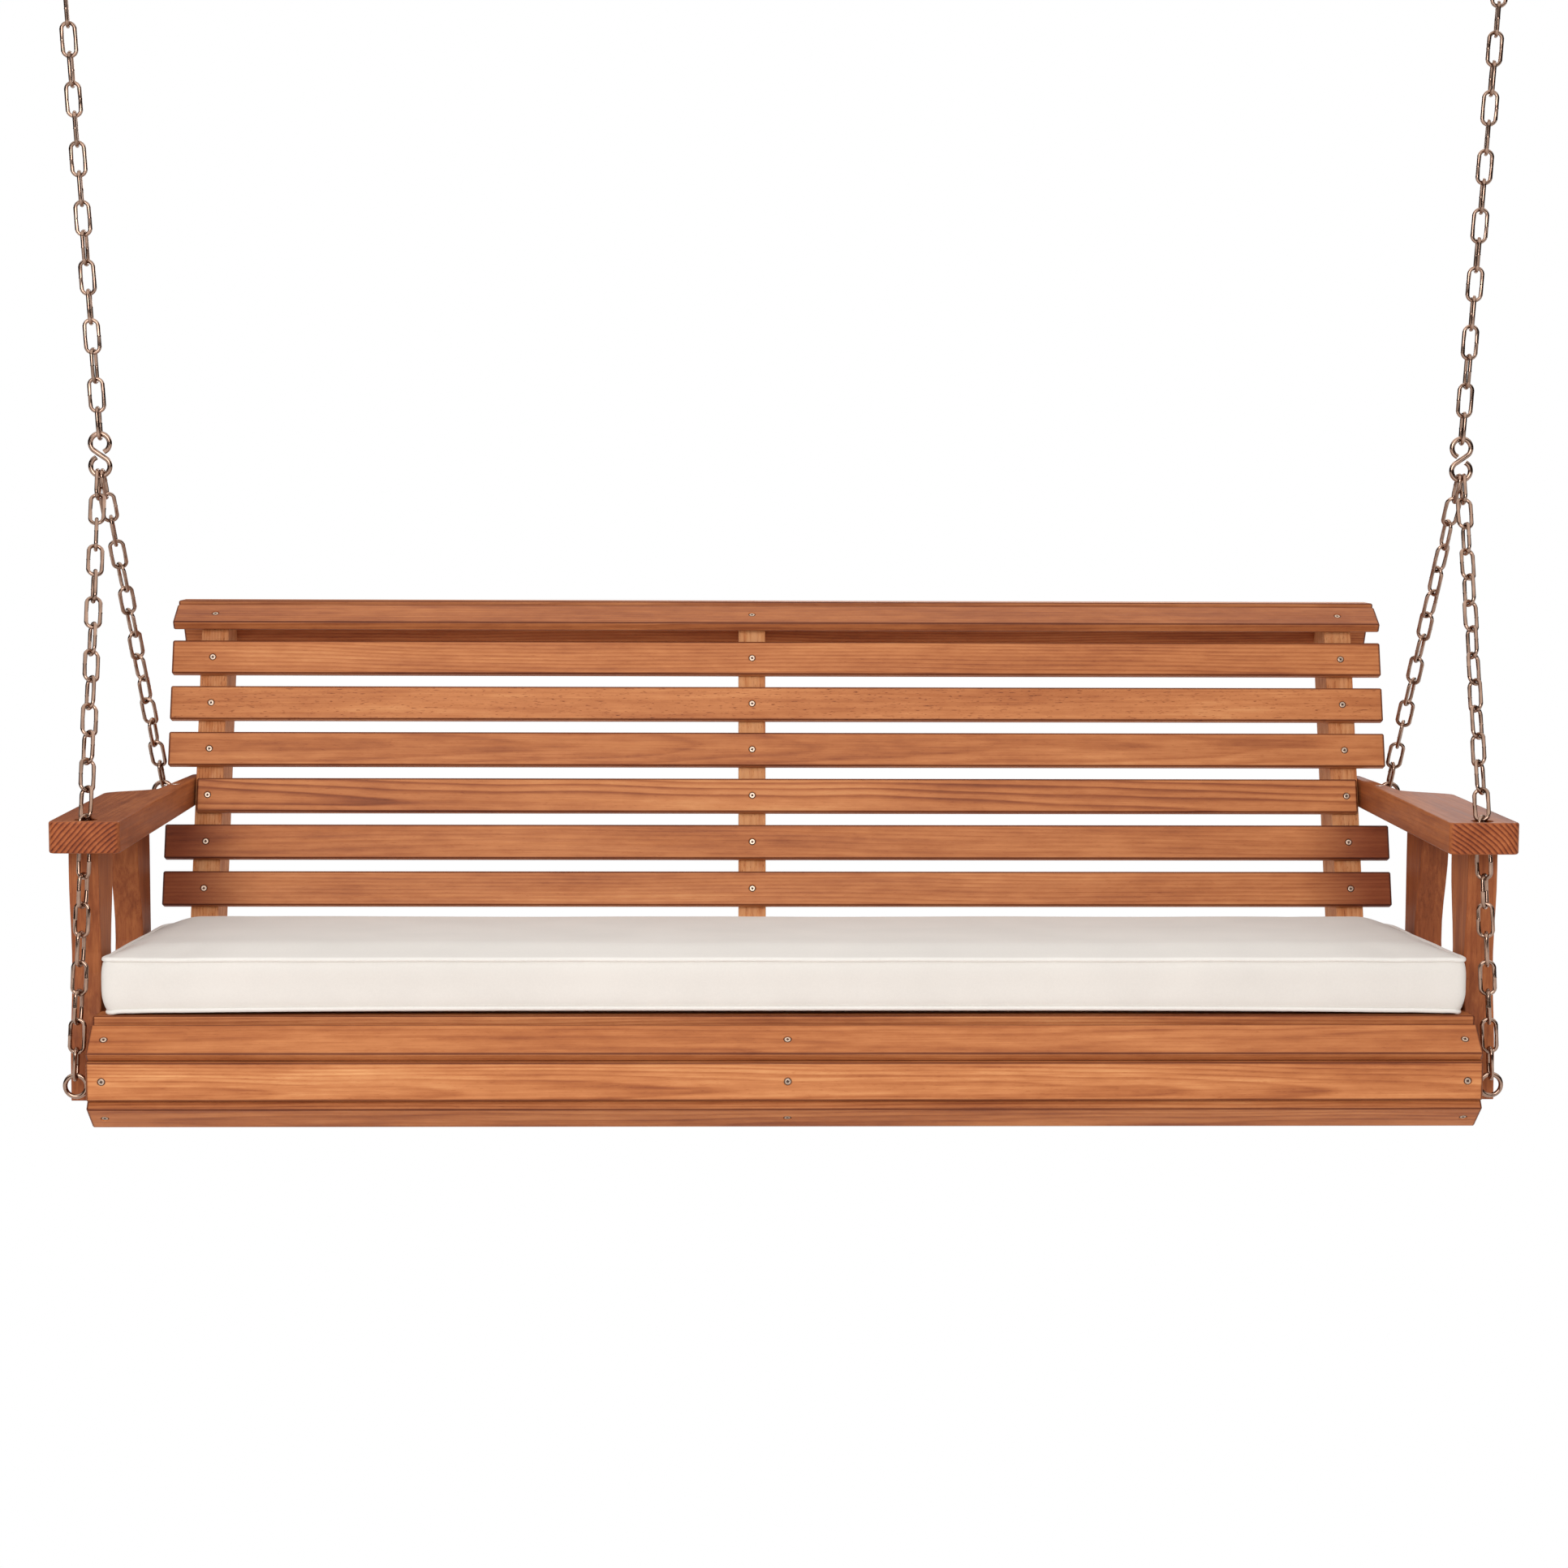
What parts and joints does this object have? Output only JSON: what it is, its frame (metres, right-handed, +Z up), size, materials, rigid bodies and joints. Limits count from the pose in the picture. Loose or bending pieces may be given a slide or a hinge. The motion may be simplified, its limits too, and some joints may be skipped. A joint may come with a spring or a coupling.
{
  "type": "porch swing",
  "caption": "Slatted wooden porch swing bench with waisted arm posts and a box cushion, hung by chains from S-hooks below ceiling plates.",
  "frame": {"origin": "on the ceiling, midway between the tops of the two ceiling plates", "axes": "+Z up, +Y from the front of the seat to the backrest, +X along the bench to the right of a viewer in front of it"},
  "size_m": [1.9714, 0.7556, 1.533],
  "materials": {
    "stained_wood": "satin",
    "rough_wood": "matte",
    "zinc_steel": "satin",
    "cushion_fabric": "matte"
  },
  "bodies": {
    "ceiling": {"ceiling_hook_left": "zinc_steel", "ceiling_hook_right": "zinc_steel"},
    "upper_chains": {"ceiling_chain_left": "zinc_steel", "ceiling_chain_right": "zinc_steel", "s_hook_left": "zinc_steel", "s_hook_right": "zinc_steel"},
    "bench": {"arm_left": "stained_wood", "arm_right": "stained_wood", "arm_tail_screw_left": "zinc_steel", "arm_tail_screw_right": "zinc_steel", "back_slat_1": "stained_wood", "back_slat_2": "stained_wood", "back_slat_3": "stained_wood", "back_slat_4": "stained_wood", "back_slat_5": "stained_wood", "back_slat_6": "stained_wood", "back_upright_centre": "rough_wood", "back_upright_left": "rough_wood", "back_upright_right": "rough_wood", "eye_bolt_front_left": "zinc_steel", "eye_bolt_front_right": "zinc_steel", "eye_bolt_nut_front_left": "zinc_steel", "eye_bolt_nut_front_right": "zinc_steel", "eye_bolt_nut_rear_left": "zinc_steel", "eye_bolt_nut_rear_right": "zinc_steel", "eye_bolt_rear_left": "zinc_steel", "eye_bolt_rear_right": "zinc_steel", "front_chain_left": "zinc_steel", "front_chain_right": "zinc_steel", "front_post_left": "stained_wood", "front_post_right": "stained_wood", "rear_chain_left": "zinc_steel", "rear_chain_right": "zinc_steel", "rear_post_left": "stained_wood", "rear_post_right": "stained_wood", "roll_slat_lower": "stained_wood", "roll_slat_middle": "stained_wood", "roll_slat_upper": "stained_wood", "seat_slat_1": "stained_wood", "seat_slat_2": "stained_wood", "seat_slat_3": "stained_wood", "seat_slat_4": "stained_wood", "seat_slat_5": "stained_wood", "seat_slat_6": "stained_wood", "seat_slat_7": "stained_wood", "seat_slat_8": "stained_wood", "seat_support_centre": "stained_wood", "seat_support_left": "stained_wood", "seat_support_right": "stained_wood", "top_slat_flat": "stained_wood", "top_slat_front": "stained_wood", "top_slat_rear": "stained_wood", "upright_lag_screw_centre_1": "zinc_steel", "upright_lag_screw_centre_2": "zinc_steel", "upright_lag_screw_left_1": "zinc_steel", "upright_lag_screw_left_2": "zinc_steel", "upright_lag_screw_right_1": "zinc_steel", "upright_lag_screw_right_2": "zinc_steel"},
    "cushion": {"seat_cushion": "cushion_fabric"}
  },
  "joints": [
    {"name": "swing", "type": "hinge", "parent": "ceiling", "child": "upper_chains", "pos_m": [0, 0, -0.04], "axis": [1, 0, 0], "range_deg": [-25, 25]},
    {"name": "bench_tilt", "type": "hinge", "parent": "upper_chains", "child": "bench", "pos_m": [0, 0, -0.7285], "axis": [1, 0, 0], "range_deg": [-12, 12]},
    {"name": "cushion_slide", "type": "slide", "parent": "bench", "child": "cushion", "axis": [0, -0.9988, 0.0489], "range_m": [0, 0.45]}
  ]
}
